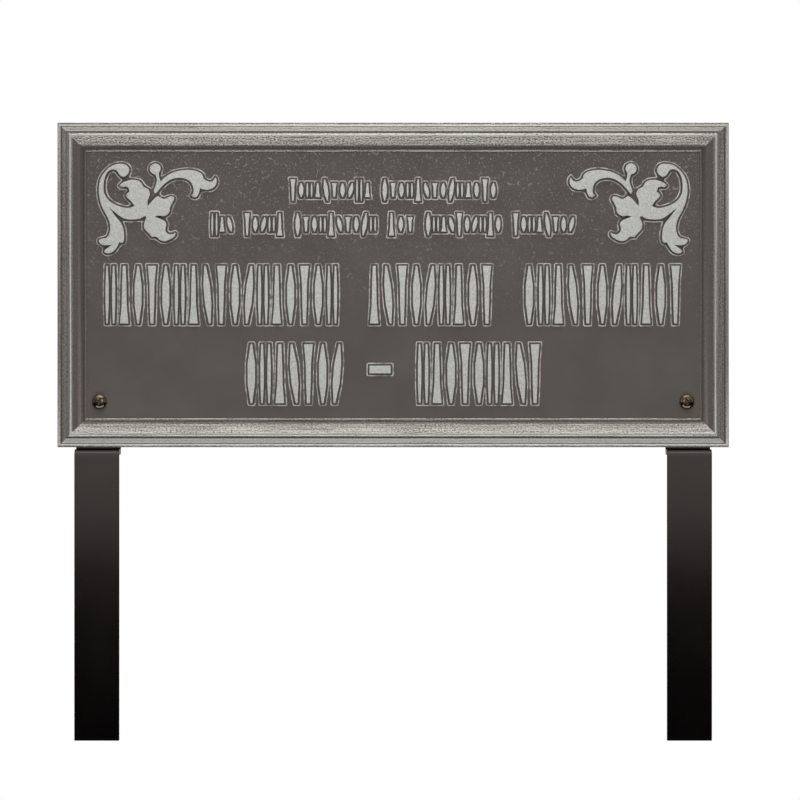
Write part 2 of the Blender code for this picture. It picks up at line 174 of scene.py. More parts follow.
def apply_modifiers(piece):
    """Replace a piece's mesh by what its modifiers make of it."""
    made = bpy.data.meshes.new_from_object(piece.evaluated_get(bpy.context.evaluated_depsgraph_get()))
    piece.modifiers.clear()
    old = piece.data
    piece.data = made
    bpy.data.meshes.remove(old)


def join(piece, tool, operation, use_self=False):
    """Join a helper solid to a piece or cut it out, then throw the helper away."""
    step = piece.modifiers.new("join", "BOOLEAN")
    step.object = tool
    step.operation = operation
    step.solver = "EXACT"
    step.use_self = use_self
    apply_modifiers(piece)
    bpy.data.objects.remove(tool, do_unlink=True)


def soften(piece, degrees):
    """Shade a piece smooth but for creases over an angle, and keep its large faces flat."""
    piece.data.shade_smooth()
    piece.data.set_sharp_from_angle(angle=math.radians(degrees))
    step = piece.modifiers.new("flat faces", "WEIGHTED_NORMAL")
    step.keep_sharp = True
    step.weight = 100
    apply_modifiers(piece)


def triangles(piece):
    """How many triangles a piece has."""
    return sum(len(face.vertices) - 2 for face in piece.data.polygons)


def place_piece(piece, slot, *nodes):
    """Attach a piece to the root body and hide the solids that it stands for. The slot is not used."""
    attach(piece, "root")
    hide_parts(*nodes)
    print(piece.name, "stands for", nodes, "with", triangles(piece), "triangles")


# %% [markdown]
# ## Dark pewter enamel
#
# The ground is a satin enamel over sand-cast aluminium. The eye sees a warm dark grey, a faint grain
# from the sand under the paint, and small pits and pale specks that get more frequent towards the
# top, where the paint is thinner. A dielectric with an IOR of 1.5 and a roughness near 0.5 is a
# typical satin enamel.

# %% Pewter enamel for the ground
GRAIN_SIZE = 0.9 * MM       # sand grain is nearer 0.3 mm, drawn coarser so that it shows
MOTTLE_SIZE = 25.0 * MM
DUST = (0.60, 0.70)         # where the grain's peaks begin to show as specks, and where they do fully
DUST_STARTS = 30 * MM       # below the plaque's middle

pewter, tree, shader = new_finish("satin pewter enamel over sand-cast aluminium")
place = add_node(tree, "TexCoord").outputs["Object"]
height = add_node(tree, "SeparateXYZ", [("Vector", place)]).outputs["Z"]
upper = add_node(tree, "MapRange", [("Value", height), ("From Min", PLAQUE_MIDDLE_Z - DUST_STARTS),
                                    ("From Max", PLAQUE_TOP_Z)]).outputs[0]
mottle = add_node(tree, "TexNoise", [("Vector", place), ("Scale", 1 / MOTTLE_SIZE), ("Detail", 3)])
colour = add_node(tree, "ValToRGB", [("Fac", mottle.outputs["Fac"])],
                  [(0.35, linear("#57514b")), (0.65, linear("#5e5852"))])
grain = add_node(tree, "TexNoise", [("Vector", place), ("Scale", 1 / GRAIN_SIZE), ("Detail", 2)])
dust = add_node(tree, "MapRange", [("Value", grain.outputs["Fac"]), ("From Min", DUST[0]),
                                   ("From Max", DUST[1])]).outputs[0]
dusty = add_node(tree, "Math", [(0, dust), (1, upper)], operation="MULTIPLY").outputs[0]
bump = add_node(tree, "Bump", [("Height", grain.outputs["Fac"]), ("Strength", 0.3),
                               ("Distance", 0.04 * MM)])
tree.links.new(bump.outputs["Normal"], shader.inputs["Normal"])
shader.inputs["Roughness"].default_value = 0.5
print("sand grain drawn at", GRAIN_SIZE / MM, "mm")

# %% Fine scratches in the pewter enamel
SCRATCH_CURL = 8.0 * MM
SCRATCH_LENGTH = 2.2 * MM
SCRATCH_THIN = 0.013        # how much of the curl's levels, to either side, the line takes in
SCRATCH_KEPT = (0.57, 0.61)
PALE_SHARE = 0.75           # how far specks and scratches cover the enamel

# A thin band round one level of a noise is a long curved line, and a second noise cuts it short
curl = add_node(tree, "TexNoise", [("Vector", place), ("Scale", 1 / SCRATCH_CURL), ("Detail", 1)])
level = add_node(tree, "Math", [(0, curl.outputs["Fac"]), (1, 0.5)], operation="SUBTRACT")
thin = add_node(tree, "Math", [(0, level.outputs[0]), (1, 0.0), (2, SCRATCH_THIN)],
                operation="COMPARE")
cut = add_node(tree, "TexNoise", [("Vector", place), ("Scale", 1 / SCRATCH_LENGTH), ("Detail", 0)])
kept = add_node(tree, "MapRange", [("Value", cut.outputs["Fac"]), ("From Min", SCRATCH_KEPT[0]),
                                   ("From Max", SCRATCH_KEPT[1])]).outputs[0]
scratch = add_node(tree, "Math", [(0, thin.outputs[0]), (1, kept)], operation="MULTIPLY").outputs[0]
faint = add_node(tree, "Math", [(0, scratch), (1, upper)], operation="MULTIPLY").outputs[0]
marked = add_node(tree, "Math", [(0, dusty), (1, faint)], operation="MAXIMUM").outputs[0]
pale = add_node(tree, "Math", [(0, marked), (1, PALE_SHARE)], operation="MULTIPLY").outputs[0]
dulled = add_node(tree, "Mix", [("Factor", pale), (6, colour.outputs["Color"]),
                                (7, linear("#a39e96"))], data_type="RGBA")
tree.links.new(dulled.outputs[2], shader.inputs["Base Color"])
print("scratches about", SCRATCH_LENGTH / MM, "mm long")

# %% [markdown]
# ## Bright metal on the raised faces
#
# After painting, a belt sander takes the enamel off every raised face. What is left is plain
# aluminium with a fine sanded grain, a full metal, so its colour is the reflection's colour.

# %% Sanded aluminium for the raised faces
SANDED_GRAIN = 0.8 * MM     # a belt's lines are nearer 0.1 mm, drawn coarser so that they show

sanded, tree, shader = new_finish("sanded aluminium")
place = add_node(tree, "TexCoord").outputs["Object"]
lines = add_node(tree, "TexNoise", [("Vector", place), ("Scale", 1 / SANDED_GRAIN), ("Detail", 2)])
colour = add_node(tree, "ValToRGB", [("Fac", lines.outputs["Fac"])],
                  [(0.35, linear("#bdbeb7")), (0.65, linear("#d5d6d0"))])
tree.links.new(colour.outputs["Color"], shader.inputs["Base Color"])
bump = add_node(tree, "Bump", [("Height", lines.outputs["Fac"]), ("Strength", 0.2),
                               ("Distance", 0.02 * MM)])
tree.links.new(bump.outputs["Normal"], shader.inputs["Normal"])
shader.inputs["Metallic"].default_value = 1.0
shader.inputs["Roughness"].default_value = 0.38
print(sanded.name, "with its grain drawn at", SANDED_GRAIN / MM, "mm")

# %% [markdown]
# ## The worn edge round each mark
#
# The same belt just touches the pedestals' edges, so the enamel there is rubbed thin and a pale line
# shows. It is mostly metal with a little paint left on it, patchy along its length.

# %% Thin enamel on the pedestals' edges
PATCH_SIZE = 3 * MM

worn_edge, tree, shader = new_finish("enamel rubbed thin on an edge")
place = add_node(tree, "TexCoord").outputs["Object"]
patches = add_node(tree, "TexNoise", [("Vector", place), ("Scale", 1 / PATCH_SIZE), ("Detail", 3)])
colour = add_node(tree, "ValToRGB", [("Fac", patches.outputs["Fac"])],
                  [(0.35, linear("#8a867f")), (0.60, linear("#d8d6cf"))])
tree.links.new(colour.outputs["Color"], shader.inputs["Base Color"])
shader.inputs["Metallic"].default_value = 0.8
shader.inputs["Roughness"].default_value = 0.42
print(worn_edge.name, "in patches of", PATCH_SIZE / MM, "mm")

# %% [markdown]
# ## The wiped border
#
# The border is rubbed with a pad along its length while the enamel is still soft. The high steps
# come out bright, paint stays in the grooves and on the steep inner bank, and fine streaks run along
# each side. Those streaks turn the corner with the border, so the border has a UV map of its own:
# u runs along the side and v is the distance from the outer edge, both in millimetres. The level
# sides are wiped harder than the upright ones, so each pair has its own table of paint.

# %% Where paint is left on the border
BORDER_WIDTH = 16.8         # in millimetres, as the map is
# How much paint is left at each distance from the edge, in millimetres: 0 is bare, 1 is covered
LEVEL_PAINT = ((0, 0.70), (0.9, 0.55), (1.3, 0.05), (2.0, 0.20), (2.3, 0.65), (2.7, 0.35), (4.9, 0.30),
               (5.2, 0.75), (6.0, 0.75), (6.5, 0.30), (7.5, 0.25), (8.2, 0.50), (12.7, 0.52),
               (13.6, 0.75), (15.0, 0.75), (15.4, 0.50), (16.3, 0.45), (16.7, 1.0))
UPRIGHT_PAINT = ((0, 0.35), (1.2, 0.30), (1.8, 0.60), (2.3, 0.85), (2.8, 0.72), (4.7, 0.70), (5.4, 0.45),
                 (6.0, 0.30), (6.4, 0.15), (8.2, 0.15), (8.8, 0.60), (9.4, 0.92), (12.7, 0.95),
                 (15.0, 0.88), (15.6, 0.90), (16.1, 0.90), (16.5, 1.0))
# How far from the map's middle the level and the upright sides lie, and a limit between the two
RUN_LEVEL, RUN_UPRIGHT, RUN_LIMIT = 300.0, 700.0, 550.0

wiped, tree, shader = new_finish("wiped aluminium with enamel in the grooves")
run = add_node(tree, "UVMap", uv_map="run").outputs["UV"]
parts = add_node(tree, "SeparateXYZ", [("Vector", run)])
distance = add_node(tree, "Math", [(0, parts.outputs["Y"]), (1, BORDER_WIDTH)], operation="DIVIDE")
from_middle = add_node(tree, "Math", [(0, parts.outputs["X"])], operation="ABSOLUTE")
upright = add_node(tree, "Math", [(0, from_middle.outputs[0]), (1, RUN_LIMIT)],
                   operation="GREATER_THAN")
level_paint = add_node(tree, "ValToRGB", [("Fac", distance.outputs[0])],
                       [(mm / BORDER_WIDTH, paint) for mm, paint in LEVEL_PAINT])
upright_paint = add_node(tree, "ValToRGB", [("Fac", distance.outputs[0])],
                         [(mm / BORDER_WIDTH, paint) for mm, paint in UPRIGHT_PAINT])
left_on = add_node(tree, "Mix", [("Factor", upright.outputs[0]), ("A", level_paint.outputs["Color"]),
                                 ("B", upright_paint.outputs["Color"])])
print("paint is given at", len(LEVEL_PAINT), "and", len(UPRIGHT_PAINT), "distances from the edge")

# %% The lower side's middle step gets less paint and brighter metal than the other three sides': painted light from below
STEP_MIDDLE, STEP_REACH = 3.9, 1.3      # from the outer edge, and to either side, in millimetres
PAINTED_LIGHT_LESS_PAINT = 0.18
PAINTED_LIGHT_BRIGHTER = 0.14

# rubbed marks the lower side's middle step, where less paint and brighter metal are painted light from
# below
lower = add_node(tree, "Math", [(0, parts.outputs["X"]), (1, 0.0)], operation="LESS_THAN")
level = add_node(tree, "Math", [(0, 1.0), (1, upright.outputs[0])], operation="SUBTRACT")
lower_side = add_node(tree, "Math", [(0, lower.outputs[0]), (1, level.outputs[0])],
                      operation="MULTIPLY")
middle_step = add_node(tree, "Math", [(0, distance.outputs[0]), (1, STEP_MIDDLE / BORDER_WIDTH),
                                      (2, STEP_REACH / BORDER_WIDTH)], operation="COMPARE")
rubbed = add_node(tree, "Math", [(0, lower_side.outputs[0]), (1, middle_step.outputs[0])],
                  operation="MULTIPLY")
harder = add_node(tree, "Math", [(0, rubbed.outputs[0]), (1, -PAINTED_LIGHT_LESS_PAINT), (2, left_on.outputs[0])],
                  operation="MULTIPLY_ADD")
print("painted light from", round(STEP_MIDDLE - STEP_REACH, 1), "to", STEP_MIDDLE + STEP_REACH, "mm")

# %% Streaks and specks that the pad leaves
STREAK_LENGTH, STREAK_WIDTH = 100 / 3, 0.5       # also in millimetres
SPECK_LENGTH, SPECK_WIDTH = 10 / 9, 10 / 17
STREAK_SHARE = 0.35
UNEVEN = 0.6                                     # how much paint the pattern adds or takes away

stretch = add_node(tree, "Mapping", [("Vector", run), ("Scale", (1 / STREAK_LENGTH, 1 / STREAK_WIDTH, 1))])
streaks = add_node(tree, "TexNoise", [("Vector", stretch.outputs[0]), ("Scale", 1.0), ("Detail", 4)])
short = add_node(tree, "Mapping", [("Vector", run), ("Scale", (1 / SPECK_LENGTH, 1 / SPECK_WIDTH, 1))])
specks = add_node(tree, "TexNoise", [("Vector", short.outputs[0]), ("Scale", 1.0), ("Detail", 3)])
both = add_node(tree, "Mix", [("Factor", STREAK_SHARE), ("A", specks.outputs["Fac"]),
                              ("B", streaks.outputs["Fac"])])
uneven = add_node(tree, "MapRange", [("Value", both.outputs[0]), ("From Min", 0.3), ("From Max", 0.7),
                                     ("To Min", -UNEVEN), ("To Max", UNEVEN)], clamp=False)
print("streaks", round(STREAK_LENGTH), "mm long and", STREAK_WIDTH, "mm wide")

# %% Paint over metal on the border
sum_up = add_node(tree, "Math", [(0, harder.outputs[0]), (1, uneven.outputs[0])], operation="ADD")
paint = add_node(tree, "MapRange", [("Value", sum_up.outputs[0]), ("From Min", 0.25),
                                    ("From Max", 0.75)]).outputs[0]
# On the lower side's middle step the brighter metal is painted light; elsewhere this is the pad's specks
# and streaks
bright = add_node(tree, "Math", [(0, rubbed.outputs[0]), (1, PAINTED_LIGHT_BRIGHTER), (2, both.outputs[0])],
                  operation="MULTIPLY_ADD")
metal = add_node(tree, "ValToRGB", [("Fac", bright.outputs[0])],
                 [(0.36, linear("#9c9b93")), (0.64, linear("#e3e3dc"))])
colour = add_node(tree, "Mix", [("Factor", paint), (6, metal.outputs["Color"]),
                                (7, linear("#645d56"))], data_type="RGBA")
tree.links.new(colour.outputs[2], shader.inputs["Base Color"])
bare = add_node(tree, "MapRange", [("Value", paint), ("To Min", 1.0), ("To Max", 0.1)])
tree.links.new(bare.outputs[0], shader.inputs["Metallic"])
rough = add_node(tree, "MapRange", [("Value", paint), ("To Min", 0.36), ("To Max", 0.5)])
tree.links.new(rough.outputs[0], shader.inputs["Roughness"])
bump = add_node(tree, "Bump", [("Height", both.outputs[0]), ("Strength", 0.4),
                               ("Distance", 0.10 * MM)])
tree.links.new(bump.outputs["Normal"], shader.inputs["Normal"])
print(wiped.name, "has", len(tree.nodes), "nodes")

# %% [markdown]
# ## The casting's sides and back
#
# Nobody rubs the sides and the hollow back. They keep the sprayed enamel over a coarser sand
# texture, so this finish is darker than the ground, with more grain and no specks. The steep sides of
# the raised marks get it too, as painted shade: there its darker colour stands for the shade at each
# mark's foot.

# %% Plain enamel for the sides and the back, and painted shade on the marks' sides
SHADE_SIZE = 18 * MM
ROUGH_GRAIN = 1.3 * MM      # also coarser than the real sand, for the same reason

rear_and_painted_shade, tree, shader = new_finish("sprayed enamel over rough sand-cast aluminium")
place = add_node(tree, "TexCoord").outputs["Object"]
mottle = add_node(tree, "TexNoise", [("Vector", place), ("Scale", 1 / SHADE_SIZE), ("Detail", 4)])
colour = add_node(tree, "ValToRGB", [("Fac", mottle.outputs["Fac"])],
                  [(0.35, linear("#3f3c39")), (0.65, linear("#4e4a46"))])
tree.links.new(colour.outputs["Color"], shader.inputs["Base Color"])
grain = add_node(tree, "TexNoise", [("Vector", place), ("Scale", 1 / ROUGH_GRAIN), ("Detail", 3)])
bump = add_node(tree, "Bump", [("Height", grain.outputs["Fac"]), ("Strength", 0.6),
                               ("Distance", 0.15 * MM)])
tree.links.new(bump.outputs["Normal"], shader.inputs["Normal"])
shader.inputs["Roughness"].default_value = 0.6
print(rear_and_painted_shade.name, "with its grain drawn at", ROUGH_GRAIN / MM, "mm")

# %% [markdown]
# ## The casting's blank
#
# A pattern maker planes the moulding round a flat board. In Blender the same border comes from one
# cube: its front face is inset again and again, each time by the step from one point of the border's
# section to the next, so the mitred corners make themselves. A bevel couldn't make a stepped section
# and a swept curve would leave four corner joints to close.

# %% The border's section
# Points are how far in from the outer edge and how far below the crest, in millimetres. Those of a
# curve count from the step or the groove that they belong to.
OUTER_STEP = (2.2, 1.7)       # where it ends
OUTER_EDGE = ((0, 1.0), (0.1, 0.85), (0.5, 0.60), (1.0, 0.42), (1.5, 0.20), (1.9, 0.04), (2.2, 0))
MIDDLE_STEP = (5.0, 0.9)
LIP = ((0.15, 0.35), (0.35, 0.35), (0.5, -0.5), (0.8, -0.68))
GROOVE = ((0.2, 0.25), (0.4, 0.5), (0.55, 0.5), (0.75, -0.1), (1.2, -0.38), (1.6, -0.60), (2.0, -0.77),
          (2.4, -0.87))
CREST_TOP, CREST_END = (7.65, 0), (7.9, 0.1)
COVE = (5.0, 2.4)             # width, drop
COVE_CURVE = ((0.08, 0.10), (0.24, 0.28), (0.40, 0.45), (0.56, 0.61), (0.72, 0.76), (0.86, 0.89), (1, 1))
BANK_WIDTH = 2.1
BANK_EASE = 0.4
BEAD = (1.6, 0.7)             # width, height
BEAD_STEPS = 6

section = [(out, OUTER_STEP[1] + down) for out, down in OUTER_EDGE]
section += [(OUTER_STEP[0] + out, OUTER_STEP[1] + down) for out, down in LIP]
section += [(MIDDLE_STEP[0], MIDDLE_STEP[1])]
section += [(MIDDLE_STEP[0] + out, MIDDLE_STEP[1] + down) for out, down in GROOVE]
section += [CREST_TOP, CREST_END]
section += [(CREST_END[0] + COVE[0] * out, CREST_END[1] + COVE[1] * down) for out, down in COVE_CURVE]
bank_foot = CREST_END[0] + COVE[0] + BANK_WIDTH
ground_down = GROUND_BELOW_CREST / MM
section += [(bank_foot - BANK_EASE, ground_down - BANK_EASE), (bank_foot, ground_down)]
turns = [math.pi * step / BEAD_STEPS for step in range(1, BEAD_STEPS + 1)]
section += [(bank_foot + BEAD[0] / 2 * (1 - math.cos(turn)), ground_down - BEAD[1] * math.sin(turn))
            for turn in turns]
section = [(out * MM, down * MM) for out, down in section]
print("border section:", len(section), "points,", round(section[-1][0] / MM, 1), "mm wide")

# %% The blank from one cube
# The rear finish also serves as painted shade on the raised marks' sides
GROUND, BORDER, FACES, REAR_AND_PAINTED_SHADE, EDGE_LINE = range(5)
casting_finishes = [pewter, wiped, sanded, rear_and_painted_shade, worn_edge]
RIM_EASE = (0.3 * MM, 0.2 * MM)     # what the back rim's inner edge is rounded by, inwards and down


def inset(bm, region, steps):
    """Inset a region of faces by (inwards, down) steps, and return the rings of new faces."""
    rings = []
    for inwards, down in steps:
        rings += bmesh.ops.inset_region(bm, faces=region, thickness=inwards, depth=-down,
                                        use_even_offset=True)["faces"]
    return rings


blank = bmesh.new()
front_y = CREST_Y + section[0][1]
size = Matrix.Diagonal((PLAQUE_WIDTH, BACK_Y - front_y, PLAQUE_HEIGHT, 1))
middle = Matrix.Translation((0, (BACK_Y + front_y) / 2, PLAQUE_MIDDLE_Z))
bmesh.ops.create_cube(blank, size=1, matrix=middle @ size)
for face in blank.faces:
    face.material_index = REAR_AND_PAINTED_SHADE
front = min(blank.faces, key=lambda face: face.calc_center_median().y)
back = max(blank.faces, key=lambda face: face.calc_center_median().y)
steps = [(b[0] - a[0], b[1] - a[1]) for a, b in zip(section, section[1:])]
moulding = inset(blank, [front], steps)
hollow = PLAQUE_DEPTH - GROUND_BELOW_CREST - PLATE_THICKNESS
inset(blank, [back], [(RIM_WIDTH, 0), RIM_EASE, (RIM_DRAFT - RIM_EASE[0], hollow - RIM_EASE[1])])
front.material_index = GROUND
print("blank:", len(blank.faces), "faces")

# %% The border's own map
run_map = blank.loops.layers.uv.new("run")
for face in moulding:
    face.material_index = BORDER
    centre = face.calc_center_median()
    from_side = PLAQUE_WIDTH / 2 - abs(centre.x)
    from_end = PLAQUE_HEIGHT / 2 - abs(centre.z - PLAQUE_MIDDLE_Z)
    upright = from_side < from_end
    for corner in face.loops:
        x, z = corner.vert.co.x, corner.vert.co.z - PLAQUE_MIDDLE_Z
        if upright:
            along, inward = RUN_UPRIGHT * MM * (1 if x > 0 else -1) + z, PLAQUE_WIDTH / 2 - abs(x)
        else:
            along, inward = x + RUN_LEVEL * MM * (1 if z > 0 else -1), PLAQUE_HEIGHT / 2 - abs(z)
        corner[run_map].uv = (along / MM, inward / MM)
print("border map:", len(moulding), "faces")
plaque = finish_mesh("plaque_skin", blank, casting_finishes)

# %% [markdown]
# ## Raised work
#
# On the real plaque each raised mark has a bright flat top and steep painted sides. It stands on a low
# pedestal whose edge shows as a thin pale line a little over 1 mm outside it. Each mark starts as a
# flat outline whose corners a vertex bevel rounds. An extrusion roots it in the plate, and a few insets
# lift it: first the drafted side, then two small ones that round the top's edge. Most marks are plain
# wedge and leaf strokes in four rows, and the rest are two leaf scrolls.

# %% How one mark is raised
ROOT = 1.0 * MM                 # how deep a mark reaches into the plate, so that the two join
RELIEF_HEIGHT = 2.0 * MM
SIDE_DRAFT = 0.20 * MM
TOP_ROUND = 0.10 * MM
MARK_CORNER = 0.45 * MM
PEDESTAL_HEIGHT = 0.30 * MM
PEDESTAL_MARGIN = 1.45 * MM
PEDESTAL_EDGE = 0.60 * MM
PEDESTAL_CORNER = 1.0 * MM
PEDESTAL_BURIED = 0.02 * MM     # how far below the ground the pedestal's slope starts
CORNER_SHARE = 0.4


def flat_region(bm, outlines):
    """One flat region from a closed outline, or from an outline and the outlines of its holes."""
    edges = []
    for outline in outlines:
        corners = [bm.verts.new((x, GROUND_Y + ROOT, z)) for x, z in outline]
        edges += [bm.edges.new(pair) for pair in zip(corners, corners[1:] + corners[:1])]
    filled = bmesh.ops.triangle_fill(bm, edges=edges, use_beauty=True)["geom"]
    return [item for item in filled if isinstance(item, bmesh.types.BMFace)]


def raise_mark(bm, region, insets, side_finish, edge_finish, top_finish, buried=ROOT / 2):
    """Root a flat region in the plate, raise it to a depth below the ground, and go on by
    (inwards, up) insets, the first of them from that depth."""
    for face in region:
        face.normal_update()
        if face.normal.y > 0:
            face.normal_flip()
    grown = bmesh.ops.extrude_face_region(bm, geom=region, use_keep_orig=True)["geom"]
    top = [item for item in grown if isinstance(item, bmesh.types.BMFace)]
    risen = [item for item in grown if isinstance(item, bmesh.types.BMVert)]
    bmesh.ops.translate(bm, vec=(0, buried - ROOT, 0), verts=risen)
    (inwards, up), edge_insets = insets[0], insets[1:]
    for face in inset(bm, top, [(inwards, -up - buried)]):
        face.material_index = side_finish
    for face in inset(bm, top, [(inwards, -up) for inwards, up in edge_insets]):
        face.material_index = edge_finish
    for face in top:
        face.material_index = top_finish


def rounded_face(bm, outline, corner):
    """One face from a closed outline, its corners rounded by up to 0.4 of its shortest side."""
    corners = [bm.verts.new((x, GROUND_Y + ROOT, z)) for x, z in outline]
    shortest = min(edge.calc_length() for edge in bm.faces.new(corners).edges)
    rounded = bmesh.ops.bevel(bm, geom=corners, offset=min(corner, CORNER_SHARE * shortest),
                              offset_type="OFFSET", segments=3, profile=0.5, affect="VERTICES",
                              material=-1, clamp_overlap=True)
    return [rounded["verts"][0].link_faces[0]]


body_edges = [(SIDE_DRAFT, RELIEF_HEIGHT - TOP_ROUND), (TOP_ROUND * 0.3, TOP_ROUND * 0.7),
              (TOP_ROUND * 0.7, TOP_ROUND * 0.3)]
pedestal_edges = [(PEDESTAL_EDGE, PEDESTAL_HEIGHT)]
print("marks", round(RELIEF_HEIGHT / MM, 2), "mm high, pedestals", round(PEDESTAL_HEIGHT / MM, 2), "mm")

# %% [markdown]
# ## The rows of strokes
#
# Each stroke is a tall four-cornered shape that is wider at its foot, waist or head, and a twin leaf
# is two slender ones side by side. Half widths, lean and places are in stem widths of the row. A
# fixed rhythm of wedges and leaves fills each group, which gives a row an even weight. The last row
# has one plain bar between its two groups.

# %% Strokes and rows
Stroke = namedtuple("Stroke", "foot waist head lean places")
STROKES = {
    "falling wedge": Stroke(0.32, 0.46, 0.78, 0, (0,)),
    "rising wedge": Stroke(0.78, 0.46, 0.32, 0, (0,)),
    "leaf": Stroke(0.20, 0.72, 0.20, 0, (0,)),
    "right leaning leaf": Stroke(0.20, 0.68, 0.20, 0.8, (0,)),
    "left leaning leaf": Stroke(0.20, 0.68, 0.20, -0.8, (0,)),
    "twin leaf": Stroke(0.20, 0.36, 0.20, 0, (-0.55, 0.55)),
}
RHYTHM = (
    "falling wedge", "leaf", "twin leaf", "rising wedge", "left leaning leaf", "falling wedge",
    "leaf", "right leaning leaf", "twin leaf", "rising wedge", "leaf",
)
STROKE_SPANS = 3
TALL_EVERY = 4
Row = namedtuple("Row", "height above_middle stem pitch short_share groups gap")
ROWS = (
    Row(12.7, 47.5, 2.2, 4.6, 0.66, (47.0, 66.4), 5.1),
    Row(13.0, 27.9, 2.2, 4.6, 0.66, (13.0, 23.2, 47.6, 15.9, 44.2, 36.3), 5.4),
    Row(33.2, -22.1, 3.4, 8.0, 1.0, (133.8, 72.0, 91.3), 15.9),
)
LAST_ROW = Row(33.9, -67.3, 3.6, 8.0, 1.0, (56.7, 12.5, 71.5), 14.2)
PLAIN_BAR_THICKNESS = 4.8
PLAIN_BAR_HEIGHT_SHARE = 0.57


def stroke_outline(stroke, x, low, high, stem, grow=0.0):
    """The outline of one part of a stroke, up its left side and down its right side."""
    left, right = [], []
    for station in range(STROKE_SPANS + 1):
        t = station / STROKE_SPANS
        blend = 4 * t * (1 - t)
        half = (stroke.waist * blend + (1 - blend) * (stroke.foot if t < 0.5 else stroke.head)) * stem
        spine = x + stroke.lean * (t - 0.5) * stem
        z = low - grow + t * (high - low + 2 * grow)
        left.append((spine - half - grow, z))
        right.append((spine + half + grow, z))
    return left + right[::-1]


print(len(STROKES), "strokes in a rhythm of", len(RHYTHM))

# %% Lay out the rows
marks = []          # (stroke or None for the bar, x or left, low, high, stem or right), in mm
turn = 0
for row in ROWS + (LAST_ROW,):
    x = -(sum(row.groups) + row.gap * (len(row.groups) - 1)) / 2
    for group, width in enumerate(row.groups):
        if row is LAST_ROW and group == 1:
            middle_z = row.above_middle + row.height * PLAIN_BAR_HEIGHT_SHARE
            marks.append((None, x, middle_z - PLAIN_BAR_THICKNESS / 2, middle_z + PLAIN_BAR_THICKNESS / 2,
                          x + width))
            x += width + row.gap
            continue
        count = max(2, round(width / row.pitch))
        for index in range(count):
            stroke = STROKES[RHYTHM[(turn + index) % len(RHYTHM)]]
            tall = index % TALL_EVERY == 0 or row.short_share == 1
            tallness = row.height if tall else row.height * row.short_share
            base = row.above_middle + (row.height - tallness) / 2
            for place in stroke.places:
                marks.append((stroke, x + (index + 0.5) * width / count + place * row.stem, base,
                              base + tallness, row.stem))
        turn += count
        x += width + row.gap
print(len(marks), "marks in", len(ROWS) + 1, "rows")


def mark_outline(mark, grow=0.0):
    """A mark's outline in metres, grown on all sides by a margin in millimetres."""
    stroke, x, low, high, last = mark
    if stroke is None:
        points = [(x - grow, low - grow), (last + grow, low - grow),
                  (last + grow, high + grow), (x - grow, high + grow)]
    else:
        points = stroke_outline(stroke, x, low, high, last, grow)
    return [(px * MM, PLAQUE_MIDDLE_Z + pz * MM) for px, pz in points]


# %% Raise the strokes
# Their sides get the darker rear finish as painted shade, which draws the thin dark line round each bright
# face
bodies = bmesh.new()
pedestals = bmesh.new()
for mark in marks:
    raise_mark(bodies, rounded_face(bodies, mark_outline(mark), MARK_CORNER), body_edges,
               REAR_AND_PAINTED_SHADE, FACES, FACES)
    rim = mark_outline(mark, PEDESTAL_MARGIN / MM)
    raise_mark(pedestals, rounded_face(pedestals, rim, PEDESTAL_CORNER), pedestal_edges,
               EDGE_LINE, EDGE_LINE, GROUND, PEDESTAL_BURIED)
print(len(bodies.faces), "faces on the strokes,", len(pedestals.faces), "on their pedestals")

# %% [markdown]
# ## The leaf scrolls
#
# Two traditional acanthus scrolls fill the upper corners. Each has a scroll of five leaves and a
# sprig beside it. They are drawn as runs of points on a grid, y down. Each run is one smooth curve,
# and runs meet in the corners: leaf tips, notches and crotches. The right scroll mirrors the left.

# %% The leaf scrolls' outlines
LEAF_RUNS = (
    # Bulb, back of the scroll and foot leaf
    ((43.5, 31.2), (48, 27.8), (50, 22.5), (46.5, 17), (39.5, 15.3), (30, 17.5), (22, 24), (16.5, 33),
     (14.5, 45), (16, 57), (20, 68), (25, 77), (27.5, 86), (26.5, 94), (23.5, 98.5), (19, 99.5),
     (14.6, 101.5), (16.5, 106), (22, 107.8), (28, 107.5)),
    ((28, 107.5), (24, 110.5), (20.5, 114), (22.5, 116.4), (27, 116.8), (32, 114.5), (36, 109.5),
     (38.5, 104.5)),
    ((38.5, 104.5), (42, 105), (43.8, 102), (44, 95), (43, 88), (40, 81.5), (35, 75.5), (29.5, 68)),
    # Underside of the body
    ((29.5, 68), (35.5, 72.8), (42, 77.2), (49, 78.8), (57, 78.6), (63, 77.3), (66, 75.2)),
    # Lower right petal
    ((66, 75.2), (68, 76), (65.5, 83), (66, 89), (70, 93.5), (74.5, 98.8)),
    ((74.5, 98.8), (79.5, 98.2), (83, 101.5), (88, 103.2), (93, 102.3), (99, 99), (102, 95.5),
     (101, 92.5)),
    ((101, 92.5), (97.5, 94.5), (94, 94.5), (91, 92), (90.5, 88), (91.7, 84), (89.5, 80), (85, 77.5),
     (79, 75.3)),
    # Right petal
    ((79, 75.3), (83, 74.5), (88, 75), (93.5, 72.5), (95.3, 69), (95.5, 65.5), (98, 60), (100.3, 56),
     (99.5, 53), (96, 52), (92, 53.5), (88.5, 55), (85.5, 53.8), (82, 51.6)),
    ((82, 51.6), (78.5, 53.3), (74.5, 57.5), (70.5, 62)),
    # Upper petal
    ((70.5, 62), (70.5, 57), (72.5, 52.5), (73, 48), (70, 43.5), (65.5, 41.5)),
    ((65.5, 41.5), (63.5, 37.5), (59.5, 34.3), (52, 33.4), (45.5, 35), (40.5, 37.5), (38, 40.5),
     (40.5, 42.5), (45, 41.8), (48, 43)),
    ((48, 43), (49.2, 47)),
    ((49.2, 47), (45.5, 50), (46.5, 54), (51, 58), (54.5, 63)),
    # Inner edge of the scroll
    ((54.5, 63), (49, 65), (42, 64.3), (34, 61.5), (27, 57), (22.5, 50.5), (21, 43), (21.7, 34),
     (24.5, 26.5), (29, 22.8), (34, 23), (36.5, 26), (39, 29.6), (43.5, 31.2)),
)
